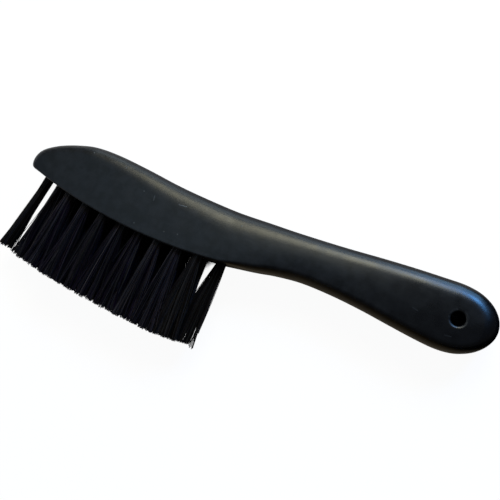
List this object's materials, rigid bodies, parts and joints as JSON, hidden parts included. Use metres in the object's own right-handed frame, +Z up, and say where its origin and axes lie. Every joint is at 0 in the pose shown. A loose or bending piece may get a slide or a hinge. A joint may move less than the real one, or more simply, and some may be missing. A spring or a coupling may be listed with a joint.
{
  "type": "pool table brush",
  "caption": "Small hand brush for a pool table's cloth and rails: a lacquered wooden board with a swept handle, a hanging hole and rows of straight bristle tufts.",
  "frame": {"origin": "the middle of the brush's lower broad side, under the middle of its bounding box", "axes": "+X from the toe of the head to the butt of the handle, +Y away from the bristles, +Z up through the board's thickness; the brush lies on its side"},
  "size_m": [0.2348, 0.0836, 0.025],
  "materials": {
    "black_lacquer": "satin black lacquer on hardwood",
    "black_bristle": "black nylon filament with a soft sheen",
    "anchor_steel": "bright flattened steel wire"
  },
  "bodies": {
    "root": {"board": "black_lacquer", "anchor_front_1": "anchor_steel", "tuft_front_1": "black_bristle", "anchor_front_2": "anchor_steel", "tuft_front_2": "black_bristle", "anchor_front_3": "anchor_steel", "tuft_front_3": "black_bristle", "anchor_front_4": "anchor_steel", "tuft_front_4": "black_bristle", "anchor_front_5": "anchor_steel", "tuft_front_5": "black_bristle", "anchor_front_6": "anchor_steel", "tuft_front_6": "black_bristle", "anchor_front_7": "anchor_steel", "tuft_front_7": "black_bristle", "anchor_front_8": "anchor_steel", "tuft_front_8": "black_bristle", "anchor_middle_1": "anchor_steel", "tuft_middle_1": "black_bristle", "anchor_middle_2": "anchor_steel", "tuft_middle_2": "black_bristle", "anchor_middle_3": "anchor_steel", "tuft_middle_3": "black_bristle", "anchor_middle_4": "anchor_steel", "tuft_middle_4": "black_bristle", "anchor_middle_5": "anchor_steel", "tuft_middle_5": "black_bristle", "anchor_middle_6": "anchor_steel", "tuft_middle_6": "black_bristle", "anchor_middle_7": "anchor_steel", "tuft_middle_7": "black_bristle", "anchor_middle_8": "anchor_steel", "tuft_middle_8": "black_bristle", "anchor_middle_9": "anchor_steel", "tuft_middle_9": "black_bristle", "anchor_middle_10": "anchor_steel", "tuft_middle_10": "black_bristle", "anchor_middle_11": "anchor_steel", "tuft_middle_11": "black_bristle", "anchor_back_1": "anchor_steel", "tuft_back_1": "black_bristle", "anchor_back_2": "anchor_steel", "tuft_back_2": "black_bristle", "anchor_back_3": "anchor_steel", "tuft_back_3": "black_bristle", "anchor_back_4": "anchor_steel", "tuft_back_4": "black_bristle", "anchor_back_5": "anchor_steel", "tuft_back_5": "black_bristle", "anchor_back_6": "anchor_steel", "tuft_back_6": "black_bristle", "anchor_back_7": "anchor_steel", "tuft_back_7": "black_bristle", "anchor_back_8": "anchor_steel", "tuft_back_8": "black_bristle", "anchor_back_9": "anchor_steel", "tuft_back_9": "black_bristle"}
  },
  "joints": []
}
